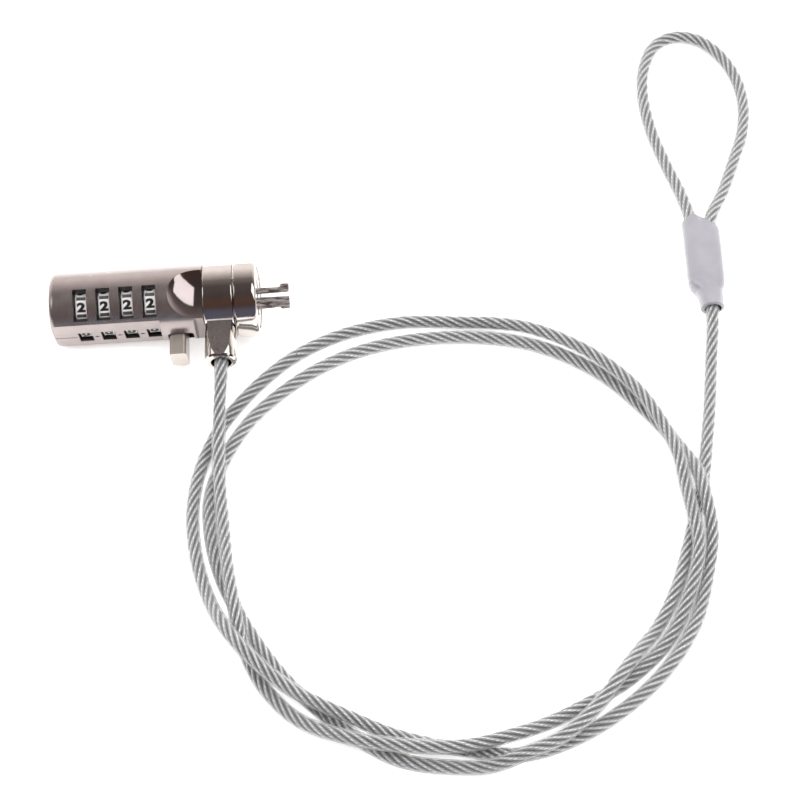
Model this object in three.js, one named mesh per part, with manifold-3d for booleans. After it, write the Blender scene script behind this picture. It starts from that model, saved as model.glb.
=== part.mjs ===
// A laptop cable lock: a four-wheel combination lock head with a swivelling cable collar, two
// claws that hold in a laptop's security slot, and a coiled steel cable with a crimped end loop.
// Millimetres, +Z up, +X along the lock from its tail to its claws. The lock lies on its side on a
// table, its tail on the table and its nose held a little higher by the stiff cable.
import * as THREE from 'three';
import { mergeVertices } from 'three/addons/utils/BufferGeometryUtils.js';
import Module from 'manifold-3d';

const wasm = await Module();
wasm.setup();

// Driving dimensions. A "station" is a distance along the lock's axis from its tail end.
const DEG = Math.PI / 180;
const GAP = 0.3;
const NOSE_RAISE = 3 * DEG;
const BODY_ROLL = 6 * DEG;
const CLAW_ROLL = 30 * DEG;
const TAIL_CENTRE = [-33.83, 4.85, 10.40];

const BODY_RADIUS = 10.5;
const BODY_END = 43.6;
const FLAT_DEPTH = 8.4;
const FLAT_END = 31.5;
const WHEEL_COUNT = 4;
const TAIL_END = 0.8;
const FIRST_WHEEL = 9.7;
const WHEEL_PITCH = 6.45;
const WHEEL_RADIUS = 8.0;
const WHEEL_WIDTH = 3.5;
const WHEEL_BORE = 5.0;
const WHEEL_TURN = 6 * DEG;
const POCKET_RADIUS = 8.2;
const POCKET_WIDTH = 4.1;
const WINDOW_WIDTH = 3.9;
const WINDOW_FROM = 43 * DEG;
const WINDOW_TO = 94 * DEG;
const FLAT_WINDOW_TOP = 1.4;
const FLAT_WINDOW_BOTTOM = -3.6;
const FRONT_BORE = 5.7;

const LEVER_FROM = 33.5;
const LEVER_WIDTH = 4.7;
const LEVER_TOP = 1.0;
const LEVER_BOTTOM = -6.7;
const LEVER_REACH = 16.4;
const TRAVEL = 1.8;

const SCOOP_STATION = 42.6;
const SCOOP_ANGLE = 74 * DEG;
const SCOOP_RADIUS = 11.2;
const SCOOP_DISTANCE = 17.9;

const COLLAR_FROM = 44.0;
const COLLAR_TO = 52.3;
const COLLAR_RADIUS = 10.9;
const BOSS_REACH = 20.7;
const BOSS_BORE = 2.9;

const NOSE_FROM = 52.7;
const NOSE_TO = 58.9;
const NOSE_RADIUS = 11.0;
const FACE_RADIUS = 8.6;
const NECK_RADIUS = 5.4;
const NECK_BORE = 4.3;
const BODY_PIN_STATION = 42.2;
const NOSE_PIN_STATION = 53.9;
const PIN_HOLE = 1.05;

const CLAW_THICKNESS = 2.6;
const CLAW_TIP = 67.6;
const HOOK_FROM = 64.9;
const CLAW_PIVOT = 54.6;
const CLAW_PIVOT_OFFSET = 1.9;

const SPINDLE_RADIUS = 1.5;
const SLEEVE_BORE = 2.3;
const SLEEVE_LENGTH = 4.0;
const SLEEVE_RECESS = 1.6;

const CABLE_RADIUS = 2.0;
const CABLE_SIDES = 8;
const CABLE_STEPS = 84;
const LOOP_SLEEVE_X = 154.0;
const LOOP_SLEEVE_Z = 3.6;
const SLEEVE_TOP = 34.6;
const MOUTH_SLANT = 32 * DEG;
const SHOULDER_SLANT = 38 * DEG;

// The cable's centreline, from the collar's boss, two and three quarter turns round the coil, up
// through the loop sleeve, round the end loop and back into the sleeve.
const CABLE_ROUTE = [
  [14.25, -8.3, 12.9], [14.25, -17, 12.7], [13.6, -28, 10.0], [13.2, -38, 7.6], [13.4, -50, 5.9],
  [14.4, -63, 5.2], [15.6, -76, 5.9], [17.4, -87, 5.9], [19.6, -97.5, 4.0], [24.6, -108, 2.1],
  [33.2, -117.2, 2], [46.5, -124.2, 6.0], [60, -127, 6.4], [76, -127.6, 6.2], [88, -124.8, 5.2],
  [97, -121.4, 3.2], [107, -116.6, 2], [120, -109.5, 2], [131.5, -98.5, 2], [138.6, -85, 4.0],
  [141.7, -73, 5.6], [141.0, -64, 6.2], [139.9, -55, 5.8], [139.0, -46.5, 6.6], [136.0, -37, 6.2],
  [129.5, -24.5, 6.0], [117.5, -12.3, 5.8], [102, -3.4, 5.2], [92, -0.2, 3.6], [81, 1.6, 2],
  [64.5, 2.2, 2], [48, -1.2, 2], [34, -8.2, 2], [22, -19, 2], [13, -31, 2],
  [7.8, -43, 2], [5.7, -56, 2], [6.8, -70, 2], [10.4, -83, 3.0], [15.2, -93.5, 7.5],
  [22.2, -102.5, 8.0], [31.5, -110.3, 6.3], [45.5, -118.0, 5.9], [59, -123.0, 2.6],
  [75, -127, 2], [91, -129, 2], [104, -125.5, 2], [117.5, -118, 2], [130, -107, 2],
  [139, -94, 2], [143.8, -80, 2], [145.9, -69, 4.2], [145.0, -59, 6.2], [143.7, -51, 5.6],
  [140.6, -42, 2.3], [131.5, -29, 2], [119.5, -16.5, 2], [104, -7.6, 2], [87, -3.8, 2],
  [66, -4.0, 2], [50, -8, 2], [36, -15.5, 2], [22, -28, 2], [14.2, -41, 2],
  [10.6, -52, 2], [10.9, -65, 2], [13.8, -77, 2], [18.8, -88, 2], [24.8, -98.3, 2],
  [31.7, -107.6, 2], [44, -119.5, 2], [58.5, -129, 2], [74, -132, 2.4], [83, -132.4, 4.2],
  [91, -130.2, 6.1], [101, -126, 6.2], [110.5, -118, 6.3], [117, -110, 6.3], [122.5, -103, 4.4],
  [128.5, -95.5, 2], [134.5, -85, 2], [139, -73, 2], [142.6, -62, 2], [145.8, -52, 2],
  [147.8, -42, 2], [150.2, -29, 2], [152.4, -14, 2.2], [154.0, -3, 3.2], [154.7, 5, 3.6],
  [156.1, 13.5, 3.6], [156.15, 26, 3.6], [157.8, 34, 3.5], [162.5, 43.5, 2.6], [167.6, 56, 2],
  [171.6, 67, 2], [173, 79, 2], [171.3, 89, 2], [167.4, 97, 2], [161.9, 102.4, 2],
  [155.0, 104.0, 2], [148.4, 100.8, 2], [144.3, 93, 2], [142.6, 82, 2], [143.7, 68, 2],
  [146.8, 55, 2], [149.8, 44, 2.7], [151.6, 34, 3.5], [151.85, 24, 3.6], [151.85, 14, 3.6],
];

const NICKEL = { color: 0x8c8484, roughness: 0.22, metalness: 1.0 };
const CHROME = { color: 0xa8a29e, roughness: 0.12, metalness: 1.0 };
const STEEL = { color: 0xb8b4ae, roughness: 0.3, metalness: 1.0 };
const BRASS = { color: 0xb9975a, roughness: 0.35, metalness: 1.0 };
const WHEEL_METAL = { color: 0xa9a6a4, roughness: 0.35, metalness: 1.0 };
const CABLE_LOOK = { color: 0xc9cbc9, roughness: 0.25, metalness: 0.2 };
const SLEEVE_LOOK = { color: 0xd9d7de, roughness: 0.2, metalness: 0.0 };

// ---- shape helpers ----

function toSolid(geometry) {
  const bare = geometry.index ? geometry.clone() : mergeVertices(geometry.clone());
  bare.deleteAttribute('normal');
  bare.deleteAttribute('uv');
  const merged = mergeVertices(bare, 1e-4);
  const index = merged.index.array;
  const triangles = [];
  for (let i = 0; i < index.length; i += 3) {
    const [a, b, c] = [index[i], index[i + 1], index[i + 2]];
    if (a !== b && b !== c && c !== a) triangles.push(a, b, c);
  }
  return new wasm.Manifold(new wasm.Mesh({
    numProp: 3,
    vertProperties: Float32Array.from(merged.attributes.position.array),
    triVerts: Uint32Array.from(triangles),
  }));
}

function toGeometry(solid) {
  const mesh = solid.getMesh();
  const geometry = new THREE.BufferGeometry();
  geometry.setAttribute('position', new THREE.BufferAttribute(mesh.vertProperties, 3));
  geometry.setIndex(new THREE.BufferAttribute(mesh.triVerts, 1));
  geometry.computeVertexNormals();
  return geometry;
}

function join(first, ...others) {
  return toGeometry(others.reduce((sum, other) => sum.add(toSolid(other)), toSolid(first)));
}

function cut(first, ...others) {
  return toGeometry(others.reduce((rest, other) => rest.subtract(toSolid(other)), toSolid(first)));
}

// A turned shape about the X axis, from [station, radius] pairs.
function turned(profile, segments = 40) {
  const points = profile.map(([station, radius]) => new THREE.Vector2(radius, station));
  return new THREE.LatheGeometry(points, segments).rotateZ(-Math.PI / 2);
}

function disc(from, to, radius, segments = 40) {
  return turned([[from, 0], [from, radius], [to, radius], [to, 0]], segments);
}

function ring(from, to, outer, inner, segments = 40) {
  return turned([[from, inner], [from, outer], [to, outer], [to, inner], [from, inner]], segments);
}

function block(x, y, z) {
  const box = new THREE.BoxGeometry(x[1] - x[0], y[1] - y[0], z[1] - z[0]);
  return box.translate((x[0] + x[1]) / 2, (y[0] + y[1]) / 2, (z[0] + z[1]) / 2);
}

// An outline in the Y-Z plane, extruded along X.
function extrudeAlongX(shape, from, to, curveSegments = 8) {
  const body = new THREE.ExtrudeGeometry(shape, { depth: to - from, bevelEnabled: false, curveSegments });
  const turn = new THREE.Matrix4().makeBasis(
    new THREE.Vector3(0, 1, 0), new THREE.Vector3(0, 0, 1), new THREE.Vector3(1, 0, 0));
  return body.applyMatrix4(turn).translate(from, 0, 0);
}

// An outline in the X-Z plane, extruded along Y between two depths.
function extrudeAlongY(shape, from, to, curveSegments = 8) {
  const body = new THREE.ExtrudeGeometry(shape, { depth: to - from, bevelEnabled: false, curveSegments });
  return body.rotateX(Math.PI / 2).translate(0, to, 0);
}

function roundedRectangle(x0, x1, y0, y1, radius) {
  const shape = new THREE.Shape();
  shape.moveTo(x0 + radius, y0);
  shape.lineTo(x1 - radius, y0);
  shape.absarc(x1 - radius, y0 + radius, radius, -Math.PI / 2, 0);
  shape.lineTo(x1, y1 - radius);
  shape.absarc(x1 - radius, y1 - radius, radius, 0, Math.PI / 2);
  shape.lineTo(x0 + radius, y1);
  shape.absarc(x0 + radius, y1 - radius, radius, Math.PI / 2, Math.PI);
  shape.lineTo(x0, y0 + radius);
  shape.absarc(x0 + radius, y0 + radius, radius, Math.PI, Math.PI * 1.5);
  return shape;
}

// A closed loft along Y through rounded sections. Each section has its place on Y, its centre in X
// and Z, its half sizes, and how square it is: 2 is an ellipse, 6 nearly a rectangle.
function loftAlongY(sections, sides = 32) {
  const positions = [];
  const indices = [];
  const corner = (value, square) => Math.sign(value) * Math.abs(value) ** (2 / square);
  for (const { y, x = 0, z = 0, halfX, halfZ, square = 2 } of sections) {
    for (let side = 0; side < sides; side += 1) {
      const angle = (2 * Math.PI * (side + 0.5)) / sides;
      const across = x + halfX * corner(Math.cos(angle), square);
      const up = z + halfZ * corner(Math.sin(angle), square);
      positions.push(across, y, up);
    }
  }
  const centre = ({ y, x = 0, z = 0 }) => positions.push(x, y, z);
  centre(sections[0]);
  centre(sections[sections.length - 1]);
  const startCap = sections.length * sides;
  for (let side = 0; side < sides; side += 1) {
    const next = (side + 1) % sides;
    for (let row = 0; row < sections.length - 1; row += 1) {
      const low = row * sides;
      const high = low + sides;
      indices.push(low + side, high + side, low + next, low + next, high + side, high + next);
    }
    const last = (sections.length - 1) * sides;
    indices.push(startCap, side, next, startCap + 1, last + next, last + side);
  }
  const geometry = new THREE.BufferGeometry();
  geometry.setAttribute('position', new THREE.Float32BufferAttribute(positions, 3));
  geometry.setIndex(indices);
  geometry.computeVertexNormals();
  return geometry;
}

function node(name, geometry, look) {
  const mesh = new THREE.Mesh(geometry, new THREE.MeshStandardMaterial(look));
  mesh.name = name;
  return mesh;
}

// ---- lock body ----

const wheelStation = (number) => FIRST_WHEEL + (number - 1) * WHEEL_PITCH;
const wheelNumbers = Array.from({ length: WHEEL_COUNT }, (_, i) => i + 1);

// A point at an angle about the axis, measured from the flat's side (-Y) up towards +Z.
const around = (angle, radius) => [-radius * Math.cos(angle), radius * Math.sin(angle)];

function windowCut(station) {
  const shape = new THREE.Shape();
  const steps = 6;
  for (let i = 0; i <= steps; i += 1) {
    const point = around(WINDOW_FROM + ((WINDOW_TO - WINDOW_FROM) * i) / steps, BODY_RADIUS + 2);
    if (i === 0) shape.moveTo(...point);
    else shape.lineTo(...point);
  }
  shape.lineTo(...around(WINDOW_TO, WHEEL_RADIUS - 2));
  shape.lineTo(...around(WINDOW_FROM, WHEEL_RADIUS - 2));
  return extrudeAlongX(shape, station - WINDOW_WIDTH / 2, station + WINDOW_WIDTH / 2);
}

function bodyShell() {
  const outer = turned([
    [TAIL_END, 0], [TAIL_END, 9.3], [TAIL_END + 0.3, 10.0], [TAIL_END + 0.9, 10.4],
    [TAIL_END + 1.5, BODY_RADIUS], [BODY_END, BODY_RADIUS], [BODY_END, 0],
  ], 48);
  const cuts = [
    block([-1, FLAT_END], [-12, -FLAT_DEPTH], [-12, 12]),
    disc(-1, 3.2, 7.8),
    disc(3, 33, WHEEL_BORE, 32),
    disc(32.8, BODY_END + 1, FRONT_BORE, 32),
    block([5.5, 32], [-2.1, 2.1], [-9.45, -6.3]),
    block([33.1, LEVER_FROM + LEVER_WIDTH + TRAVEL + GAP], [-12, -4.2],
      [LEVER_BOTTOM - 0.4, LEVER_TOP + 0.4]),
    new THREE.CylinderGeometry(PIN_HOLE, PIN_HOLE, 8, 16).translate(BODY_PIN_STATION, 8.5, 0),
  ];
  for (const number of wheelNumbers) {
    const station = wheelStation(number);
    cuts.push(disc(station - POCKET_WIDTH / 2, station + POCKET_WIDTH / 2, POCKET_RADIUS));
    cuts.push(windowCut(station));
    cuts.push(block([station - WINDOW_WIDTH / 2, station + WINDOW_WIDTH / 2], [-9, -5.5],
      [FLAT_WINDOW_BOTTOM, FLAT_WINDOW_TOP]));
  }
  const [scoopY, scoopZ] = around(SCOOP_ANGLE, SCOOP_DISTANCE);
  cuts.push(new THREE.SphereGeometry(SCOOP_RADIUS, 48, 32).translate(SCOOP_STATION, scoopY, scoopZ));
  return cut(outer, ...cuts);
}

function rearPlug() {
  const notch = (from, to) => block([0, TAIL_END + 1], [from, to], [-0.8, 0.8]);
  return cut(disc(TAIL_END + 0.5, 2.9, 7.5), disc(0, 4, 2.2, 24), notch(-6, -4), notch(4, 6));
}

function codeResetScrew() {
  const screw = turned([[1.4, 0], [1.4, 1.9], [3.1, 1.9], [3.1, 1.2], [4.6, 1.2], [4.6, 0]], 24);
  return cut(screw, block([0, 2.0], [-2.5, 2.5], [-0.3, 0.3]));
}

function neckTube() {
  const tube = ring(40.8, 57.0, NECK_RADIUS, NECK_BORE, 32);
  const pinHole = (station) => new THREE.CylinderGeometry(PIN_HOLE, PIN_HOLE, 4, 16).translate(station, 5, 0);
  return cut(tube, pinHole(BODY_PIN_STATION), pinHole(NOSE_PIN_STATION).rotateX(-CLAW_ROLL), pivotHoles());
}

// Cross holes for the two claw pins, in the claws' own turned frame.
function pivotHoles() {
  const hole = (offset) => new THREE.CylinderGeometry(0.9, 0.9, 16, 12).rotateX(Math.PI / 2)
    .translate(CLAW_PIVOT, offset, 0);
  return join(hole(CLAW_PIVOT_OFFSET), hole(-CLAW_PIVOT_OFFSET)).rotateX(CLAW_ROLL - BODY_ROLL);
}

function noseCap() {
  const cap = turned([
    [NOSE_FROM, NECK_RADIUS + GAP], [NOSE_FROM, 10.5], [NOSE_FROM + 0.5, NOSE_RADIUS],
    [NOSE_TO - 1.3, NOSE_RADIUS], [NOSE_TO - 0.6, 10.75], [NOSE_TO - 0.15, 10.3], [NOSE_TO, 9.7],
    [NOSE_TO, FACE_RADIUS], [57.6, FACE_RADIUS], [57.6, NECK_RADIUS + GAP], [NOSE_FROM, NECK_RADIUS + GAP],
  ], 48);
  const pinHole = new THREE.CylinderGeometry(PIN_HOLE, PIN_HOLE, 8, 16).translate(NOSE_PIN_STATION, 8.5, 0)
    .rotateX(-CLAW_ROLL);
  return cut(cap, pinHole, pivotHoles());
}

function facePlate() {
  const slot = block([56, 60], [-4.9, 4.9], [-1.75, 1.75]).rotateX(CLAW_ROLL - BODY_ROLL);
  return cut(disc(57.7 + GAP, NOSE_TO - 0.35, FACE_RADIUS - GAP), slot);
}

function radialPin(station, from, to) {
  return new THREE.CylinderGeometry(0.75, 0.75, to - from, 12).translate(station, (from + to) / 2, 0);
}

// ---- claws: two flat prongs whose hooks point away from each other ----

function clawUpper() {
  const outline = new THREE.Shape([
    [51.6, 0.9], [56, 0.9], [CLAW_TIP, 1.0], [CLAW_TIP, 3.2], [CLAW_TIP - 0.5, 3.65], [HOOK_FROM, 3.65],
    [HOOK_FROM - 0.2, 2.75], [58, 2.75], [56, 3.2], [51.6, 2.6],
  ].map(([x, y]) => new THREE.Vector2(x, y)));
  return clawFrom(outline, CLAW_PIVOT_OFFSET);
}

function clawLower() {
  const outline = new THREE.Shape([
    [51.6, -2.6], [56, -3.2], [58.5, -3.4], [61.5, -3.2], [HOOK_FROM - 0.2, -3.1],
    [HOOK_FROM, -3.65], [CLAW_TIP - 0.5, -3.65], [CLAW_TIP, -3.2], [CLAW_TIP, 0.0], [56, 0.0],
    [54.6, -0.9], [51.6, -0.9],
  ].map(([x, y]) => new THREE.Vector2(x, y)));
  return clawFrom(outline, -CLAW_PIVOT_OFFSET);
}

function clawFrom(outline, pivotOffset) {
  const prong = new THREE.ExtrudeGeometry(outline, { depth: CLAW_THICKNESS, bevelEnabled: false })
    .translate(0, 0, -CLAW_THICKNESS / 2);
  const hole = new THREE.CylinderGeometry(0.85, 0.85, 6, 12).rotateX(Math.PI / 2)
    .translate(CLAW_PIVOT, pivotOffset, 0);
  return cut(prong, hole);
}

function clawPin(offset) {
  return new THREE.CylinderGeometry(0.55, 0.55, 10, 12).rotateX(Math.PI / 2).translate(CLAW_PIVOT, offset, 0);
}

// ---- number wheels and the code sleeves inside them ----

const KEY_ANGLE = 200 * DEG;

function numberWheel(station) {
  const half = WHEEL_WIDTH / 2;
  const rim = turned([
    [station - half, 0], [station - half, WHEEL_RADIUS - 0.35], [station - half + 0.35, WHEEL_RADIUS],
    [station + half - 0.35, WHEEL_RADIUS], [station + half, WHEEL_RADIUS - 0.35], [station + half, 0],
  ], 10).rotateX(WHEEL_TURN);
  const keyway = block([station - 3, station + 3], [0, WHEEL_BORE + 0.9], [-0.8, 0.8]).rotateX(KEY_ANGLE);
  return cut(rim, disc(station - 3, station + 3, WHEEL_BORE, 32), keyway);
}

function codeSleeve(station) {
  const half = SLEEVE_LENGTH / 2;
  const sleeve = disc(station - half, station + half, WHEEL_BORE - GAP, 32);
  const key = block([station - 1.2, station + 1.2], [4, WHEEL_BORE + 0.6], [-0.5, 0.5]).rotateX(KEY_ANGLE);
  const gate = block([station - 3, station + 3], [0, 3.9], [-0.9, 0.9]);
  const recess = disc(station - 3, station - half + SLEEVE_RECESS, 3.7, 24);
  return cut(join(sleeve, key), disc(station - 3, station + 3, SLEEVE_BORE, 24), recess, gate);
}

function detentSpring() {
  const strip = block([6.2, 31.3], [-1.7, 1.7], [-9.1, -8.8]);
  const bumps = wheelNumbers.map((number) => {
    const station = wheelStation(number);
    return block([station - 0.9, station + 0.9], [-0.5, 0.5], [-9.0, -8.3]);
  });
  return join(strip, ...bumps);
}

// ---- release slide: lever, spindle, spring and wedge ----

function spindle() {
  const rod = turned([[5.3, 0], [5.3, SPINDLE_RADIUS], [49.5, SPINDLE_RADIUS], [49.5, 0.55], [52.2, 0.55],
    [52.2, 0]], 24);
  const fins = wheelNumbers.map((number) => {
    const middle = wheelStation(number) - WHEEL_PITCH / 2;
    return block([middle - 0.6, middle + 0.6], [0, 3.3], [-0.5, 0.5]);
  });
  return join(rod, ...fins);
}

function releaseLever() {
  const outline = roundedRectangle(LEVER_FROM, LEVER_FROM + LEVER_WIDTH, LEVER_BOTTOM, LEVER_TOP, 0.9);
  const pad = extrudeAlongY(outline, -LEVER_REACH, -5.0, 4);
  const stem = block([LEVER_FROM + 0.5, LEVER_FROM + LEVER_WIDTH - 0.5], [-5.4, -1], [-1.9, 0.9]);
  const hub = disc(LEVER_FROM + 0.5, LEVER_FROM + LEVER_WIDTH - 0.5, 3.2, 24);
  return cut(join(pad, stem, hub), disc(30, 42, SPINDLE_RADIUS + GAP, 24));
}

function returnSpring() {
  const turns = 3.5;
  const length = 3.6;
  const coilRadius = 2.9;
  class Helix extends THREE.Curve {
    getPoint(t, target = new THREE.Vector3()) {
      const angle = turns * 2 * Math.PI * t;
      return target.set(42.6 + length * t, coilRadius * Math.cos(angle), coilRadius * Math.sin(angle));
    }
  }
  const wire = new THREE.Shape();
  wire.absarc(0, 0, 0.35, 0, 2 * Math.PI);
  return new THREE.ExtrudeGeometry(wire, { steps: 42, extrudePath: new Helix(), curveSegments: 3 });
}

const springSeat = () => ring(41.2, 41.9, 3.9, SPINDLE_RADIUS + GAP, 24);

// A coned collar behind the spindle's tip, which runs between the claws' tails.
function clawWedge() {
  return turned([
    [48.1, SPINDLE_RADIUS + GAP], [48.1, 2.6], [48.6, 2.6], [49.3, 2.1], [49.3, SPINDLE_RADIUS + GAP],
    [48.1, SPINDLE_RADIUS + GAP],
  ], 24);
}

// ---- swivelling collar and its cable outlet ----

function swivelCollar() {
  const chamfer = 0.45;
  const band = turned([
    [COLLAR_FROM, FRONT_BORE], [COLLAR_FROM, COLLAR_RADIUS - chamfer], [COLLAR_FROM + chamfer, COLLAR_RADIUS],
    [COLLAR_TO - chamfer, COLLAR_RADIUS], [COLLAR_TO, COLLAR_RADIUS - chamfer], [COLLAR_TO, FRONT_BORE],
    [COLLAR_FROM, FRONT_BORE],
  ], 48);
  const middle = (COLLAR_FROM + COLLAR_TO) / 2;
  const boss = loftAlongY([
    { y: -BOSS_REACH, halfX: 3.9, halfZ: 3.7 },
    { y: -BOSS_REACH + 0.5, halfX: 4.5, halfZ: 4.2 },
    { y: -17.5, halfX: 4.65, halfZ: 4.4, square: 2.3 },
    { y: -12.5, halfX: 4.6, halfZ: 4.9, square: 4 },
    { y: -7, halfX: 4.1, halfZ: 5.3, square: 6 },
  ]).translate(middle, 0, 0);
  const cableBore = new THREE.CylinderGeometry(BOSS_BORE, BOSS_BORE, 18, 24).translate(middle, -15, 0);
  return cut(join(band, boss), disc(40, 60, FRONT_BORE, 40), cableBore, disc(43, 45.2, 8.0));
}

const swivelWasher = () => ring(44.3, 44.9, 7.7, FRONT_BORE + 0.2);

function cableEndFerrule() {
  const middle = (COLLAR_FROM + COLLAR_TO) / 2;
  return new THREE.CylinderGeometry(BOSS_BORE - GAP, BOSS_BORE - GAP, 5.6, 20).translate(middle, -9.9, 0);
}

// ---- cable, and the crimped end that closes its loop ----

function cable() {
  const route = new THREE.CatmullRomCurve3(CABLE_ROUTE.map((point) => new THREE.Vector3(...point)));
  const section = new THREE.Shape();
  section.absarc(0, 0, CABLE_RADIUS, 0, 2 * Math.PI);
  return new THREE.ExtrudeGeometry(section, {
    steps: CABLE_STEPS, extrudePath: route, curveSegments: CABLE_SIDES / 2,
  });
}

function loopFerrule() {
  const shape = roundedRectangle(-4.85, 5.2, -2.9, 2.9, 2.8);
  const hole = roundedRectangle(-4.4, 4.75, -2.45, 2.45, 2.4);
  return cut(extrudeAlongY(shape, 14, 23, 6), extrudeAlongY(hole, 13, 24, 6))
    .translate(LOOP_SLEEVE_X, 0, LOOP_SLEEVE_Z);
}

function loopSleeve() {
  const outside = loftAlongY([
    { y: 2.0, x: 0.5, halfX: 3.2, halfZ: 3.1 },
    { y: 2.6, x: 0.5, halfX: 3.55, halfZ: 3.4 },
    { y: 6.5, x: 0.3, halfX: 3.9, halfZ: 3.4, square: 2.2 },
    { y: 11.0, x: -0.2, halfX: 5.5, halfZ: 3.6, square: 3 },
    { y: 32.5, x: 0.2, halfX: 5.7, halfZ: 3.6, square: 3.2 },
    { y: 34.8, x: 0.2, halfX: 5.6, halfZ: 3.4, square: 3 },
  ]);
  const neck = loftAlongY([
    { y: -1, x: 0.3, halfX: 2.7, halfZ: 2.6 },
    { y: 13, x: 1.9, halfX: 2.9, halfZ: 2.6 },
  ], 20);
  const hollow = extrudeAlongY(roundedRectangle(-5.1, 5.5, -3.15, 3.15, 3.0), 12.5, 40, 6);
  // The mouth slants, so the sleeve stands highest over the short strand's side.
  const slant = block([-12, 12], [0, 12], [-8, 8]).rotateZ(-MOUTH_SLANT).translate(-2.4, SLEEVE_TOP, 0);
  const shoulder = block([-12, 12], [0, 12], [-8, 8]).rotateZ(SHOULDER_SLANT).translate(-2.4, SLEEVE_TOP, 0);
  return cut(outside, neck, hollow, slant, shoulder).translate(LOOP_SLEEVE_X, 0, LOOP_SLEEVE_Z);
}

// ---- assembly ----

function buildBody() {
  const body = new THREE.Group();
  body.rotation.x = BODY_ROLL;
  body.add(
    node('body_shell', bodyShell(), NICKEL),
    node('rear_plug', rearPlug(), NICKEL),
    node('code_reset_screw', codeResetScrew(), STEEL),
    node('neck_tube', neckTube(), STEEL),
    node('nose_cap', noseCap(), CHROME),
    node('face_plate', facePlate(), STEEL),
    node('body_pin', radialPin(BODY_PIN_STATION, 4.6, 10.2), STEEL),
    node('nose_pin', radialPin(NOSE_PIN_STATION, 4.6, 10.6).rotateX(-CLAW_ROLL), STEEL),
    node('detent_spring', detentSpring(), BRASS),
    node('spindle', spindle(), STEEL),
    node('release_lever', releaseLever(), NICKEL),
    node('spring_seat', springSeat(), STEEL),
    node('return_spring', returnSpring(), STEEL),
    node('claw_wedge', clawWedge(), STEEL),
  );
  for (const number of wheelNumbers) {
    const station = wheelStation(number);
    body.add(node(`number_wheel_${number}`, numberWheel(station), WHEEL_METAL));
    body.add(node(`code_sleeve_${number}`, codeSleeve(station), BRASS));
  }
  return body;
}

function buildClaws() {
  const claws = new THREE.Group();
  claws.rotation.x = CLAW_ROLL;
  claws.add(
    node('claw_upper', clawUpper(), STEEL),
    node('claw_lower', clawLower(), STEEL),
    node('claw_pin_upper', clawPin(CLAW_PIVOT_OFFSET), STEEL),
    node('claw_pin_lower', clawPin(-CLAW_PIVOT_OFFSET), STEEL),
  );
  return claws;
}

function buildCollar() {
  const collar = new THREE.Group();
  collar.add(
    node('swivel_collar', swivelCollar(), CHROME),
    node('swivel_washer', swivelWasher(), BRASS),
    node('cable_end_ferrule', cableEndFerrule(), STEEL),
  );
  return collar;
}

const head = new THREE.Group();
head.position.set(...TAIL_CENTRE);
head.rotation.y = -NOSE_RAISE;
head.add(buildBody(), buildClaws(), buildCollar());

const lock = new THREE.Group();
lock.add(
  head,
  node('cable', cable(), CABLE_LOOK),
  node('loop_ferrule', loopFerrule(), STEEL),
  node('loop_sleeve', loopSleeve(), SLEEVE_LOOK),
);

export default lock;
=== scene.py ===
import math

import bmesh
import bpy
from mathutils import Matrix, Vector


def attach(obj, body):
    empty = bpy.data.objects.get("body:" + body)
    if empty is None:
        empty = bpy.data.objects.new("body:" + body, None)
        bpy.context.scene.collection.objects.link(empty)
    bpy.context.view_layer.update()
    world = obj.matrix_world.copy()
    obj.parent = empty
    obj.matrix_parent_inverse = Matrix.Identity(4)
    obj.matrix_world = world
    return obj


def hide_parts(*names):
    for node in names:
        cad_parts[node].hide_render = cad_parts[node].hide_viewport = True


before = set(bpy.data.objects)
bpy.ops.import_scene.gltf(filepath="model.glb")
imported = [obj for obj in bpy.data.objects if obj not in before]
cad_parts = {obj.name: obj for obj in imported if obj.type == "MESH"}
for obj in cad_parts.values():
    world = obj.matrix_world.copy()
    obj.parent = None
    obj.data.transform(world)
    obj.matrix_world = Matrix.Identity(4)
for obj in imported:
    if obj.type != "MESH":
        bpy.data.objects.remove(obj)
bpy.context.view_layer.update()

MM = 0.001
UP = Vector((0, 0, 1))

# The lock head's own frame: stations run along +X from the tail, in millimetres.
NOSE_RAISE = math.radians(3)
BODY_ROLL = math.radians(6)
CLAW_ROLL = math.radians(30)
TAIL_CENTRE = Vector((-33.83, 4.85, 10.40))
HEAD = Matrix.Translation(TAIL_CENTRE) @ Matrix.Rotation(-NOSE_RAISE, 4, "Y")
BODY = HEAD @ Matrix.Rotation(BODY_ROLL, 4, "X")
CLAWS = HEAD @ Matrix.Rotation(CLAW_ROLL, 4, "X")

OUTSIDE = 12  # past the body's surface on every side
ROUND = 160   # facets round the large turned shapes
TAIL_END = 0.8
TAIL_RECESS_RADIUS = 7.8
TAIL_RECESS_END = 3.2
BODY_RADIUS = 10.5
BODY_END = 43.6
BODY_BORE = 5.0
FLAT_DEPTH = 8.4
FLAT_END = 31.5
END_FLAT_FROM = 41.0

WHEELS = range(1, 5)
FIRST_WHEEL = 9.7
WHEEL_PITCH = 6.45
WHEEL_RADIUS = 8.0
WHEEL_TURN = math.radians(6)
WHEEL_WIDTH = 3.5
WHEEL_BORE = 5.0
POCKET_RADIUS = 8.2
POCKET_WIDTH = 4.1

DIGIT_COUNT = 10
DIGIT_STEP = 2 * math.pi / DIGIT_COUNT
FACET_RADIUS = WHEEL_RADIUS * math.cos(DIGIT_STEP / 2)
DIGIT_HEIGHT = 2.75
DIGIT_WIDTH = 2.6
DIGIT_THICKNESS = 0.3
DIGIT_BOLDNESS = 0.055
BAR_HALF_HEIGHT = 0.42
NOTCH_HALF_HEIGHT = 0.5

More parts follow.
